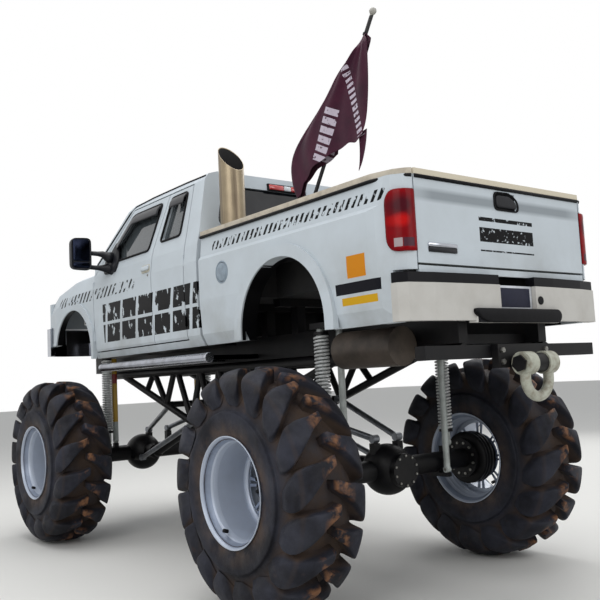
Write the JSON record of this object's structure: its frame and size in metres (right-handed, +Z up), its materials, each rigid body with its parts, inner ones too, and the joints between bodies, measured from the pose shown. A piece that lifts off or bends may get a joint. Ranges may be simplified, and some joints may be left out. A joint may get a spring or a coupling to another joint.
{
  "type": "diesel pickup truck",
  "caption": "Lifted four-door diesel pickup truck on tractor tyres, with an added truss frame, bed stack, flag and tow shackle; wheels, steering, doors, hood, tailgate and shackle move.",
  "frame": {"origin": "on the ground under the middle of the truck's length and width", "axes": "+X forward, +Y to the truck's left, +Z up"},
  "size_m": [5.89, 2.768, 3.7842],
  "materials": {
    "white_paint": "gloss",
    "fascia_plastic": "satin",
    "cream_paint": "satin",
    "front_chrome": "polished",
    "black_frame": "satin",
    "cast_block": "rough",
    "steel_bar": "satin",
    "grey_enamel": "satin",
    "spring_coating": "satin",
    "shackle_paint": "worn",
    "step_chrome": "polished",
    "stack_chrome": "polished",
    "pole_steel": "satin",
    "flag_cloth": "woven",
    "tinted_glass": "smooth",
    "lamp_lens": "smooth",
    "headlamp_lens": "smooth",
    "trim_plastic": "satin",
    "mirror_plastic": "textured",
    "bed_liner": "textured",
    "cabin_plastic": "textured",
    "seat_cloth": "woven",
    "tyre_rubber": "dusty",
    "wheel_enamel": "satin"
  },
  "bodies": {
    "chassis": {"cab": "white_paint", "fenders": "white_paint", "bed_sides": "white_paint", "grille": "fascia_plastic", "rear_bumper": "cream_paint", "front_bumper": "front_chrome", "frame": "black_frame", "truss": "black_frame", "tow_hitch": "black_frame", "rear_axle": "black_frame", "front_axle": "black_frame", "driveline": "black_frame", "tank": "black_frame", "bed_sills": "black_frame", "engine": "cast_block", "links": "steel_bar", "dampers": "grey_enamel", "springs": "spring_coating", "step_bars": "step_chrome", "stack": "stack_chrome", "flag_pole": "pole_steel", "flag": "flag_cloth", "cab_glass": "tinted_glass", "tail_lamps": "lamp_lens", "headlamps": "headlamp_lens", "rail_caps": "trim_plastic", "bed_box": "bed_liner", "wheel_tubs": "bed_liner", "dashboard": "cabin_plastic", "seats": "seat_cloth"},
    "wheel_front_left": {"tyre_front_left": "tyre_rubber", "wheel_front_left": "wheel_enamel"},
    "wheel_front_right": {"tyre_front_right": "tyre_rubber", "wheel_front_right": "wheel_enamel"},
    "wheel_rear_left": {"tyre_rear_left": "tyre_rubber", "wheel_rear_left": "wheel_enamel"},
    "wheel_rear_right": {"tyre_rear_right": "tyre_rubber", "wheel_rear_right": "wheel_enamel"},
    "knuckle_left": {"knuckle_left": "black_frame"},
    "knuckle_right": {"knuckle_right": "black_frame"},
    "tie_rod": {"tie_rod": "steel_bar"},
    "door_front_left": {"door_front_left": "white_paint", "glass_front_left": "tinted_glass", "mirror_left": "mirror_plastic"},
    "door_front_right": {"door_front_right": "white_paint", "glass_front_right": "tinted_glass", "mirror_right": "mirror_plastic"},
    "door_rear_left": {"door_rear_left": "white_paint", "glass_rear_left": "tinted_glass"},
    "door_rear_right": {"door_rear_right": "white_paint", "glass_rear_right": "tinted_glass"},
    "hood": {"hood": "white_paint"},
    "tailgate": {"tailgate": "white_paint"},
    "shackle": {"shackle": "shackle_paint"}
  },
  "joints": [
    {"name": "steer_left", "type": "hinge", "parent": "chassis", "child": "knuckle_left", "pos_m": [2.078, 0.76, 0.783], "axis": [0, 0, 1], "range_deg": [-25, 25]},
    {"name": "steer_right", "type": "hinge", "parent": "chassis", "child": "knuckle_right", "pos_m": [2.078, -0.76, 0.783], "axis": [0, 0, 1], "range_deg": [-25, 25]},
    {"name": "tie_rod_swing", "type": "hinge", "parent": "knuckle_left", "child": "tie_rod", "pos_m": [2.328, 0.76, 0.813], "axis": [0, 0, 1], "range_deg": [-25, 25]},
    {"name": "spin_front_left", "type": "hinge", "parent": "knuckle_left", "child": "wheel_front_left", "pos_m": [2.078, 1.11, 0.783], "axis": [0, 1, 0], "continuous": true},
    {"name": "spin_rear_left", "type": "hinge", "parent": "chassis", "child": "wheel_rear_left", "pos_m": [-1.511, 1.11, 0.783], "axis": [0, 1, 0], "continuous": true},
    {"name": "spin_front_right", "type": "hinge", "parent": "knuckle_right", "child": "wheel_front_right", "pos_m": [2.078, -1.11, 0.783], "axis": [0, 1, 0], "continuous": true},
    {"name": "spin_rear_right", "type": "hinge", "parent": "chassis", "child": "wheel_rear_right", "pos_m": [-1.511, -1.11, 0.783], "axis": [0, 1, 0], "continuous": true},
    {"name": "door_front_left_swing", "type": "hinge", "parent": "chassis", "child": "door_front_left", "pos_m": [1.482, 0.96, 2.2], "axis": [0, 0, -1], "range_deg": [0, 65]},
    {"name": "door_rear_left_swing", "type": "hinge", "parent": "chassis", "child": "door_rear_left", "pos_m": [-0.303, 0.96, 2.2], "axis": [0, 0, 1], "range_deg": [0, 85]},
    {"name": "door_front_right_swing", "type": "hinge", "parent": "chassis", "child": "door_front_right", "pos_m": [1.482, -0.96, 2.2], "axis": [0, 0, 1], "range_deg": [0, 65]},
    {"name": "door_rear_right_swing", "type": "hinge", "parent": "chassis", "child": "door_rear_right", "pos_m": [-0.303, -0.96, 2.2], "axis": [0, 0, -1], "range_deg": [0, 85]},
    {"name": "hood_lift", "type": "hinge", "parent": "chassis", "child": "hood", "pos_m": [1.54, 0, 2.638], "axis": [0, -1, 0], "range_deg": [0, 45]},
    {"name": "tailgate_drop", "type": "hinge", "parent": "chassis", "child": "tailgate", "pos_m": [-2.705, 0, 2.118], "axis": [0, -1, 0], "range_deg": [0, 90]},
    {"name": "shackle_swing", "type": "hinge", "parent": "chassis", "child": "shackle", "pos_m": [-2.875, 0, 1.5], "axis": [0, 1, 0], "range_deg": [-45, 90]}
  ],
  "couplings": [
    {"joint": "steer_right", "follows": "steer_left", "ratio": 1},
    {"joint": "tie_rod_swing", "follows": "steer_left", "ratio": -1}
  ]
}
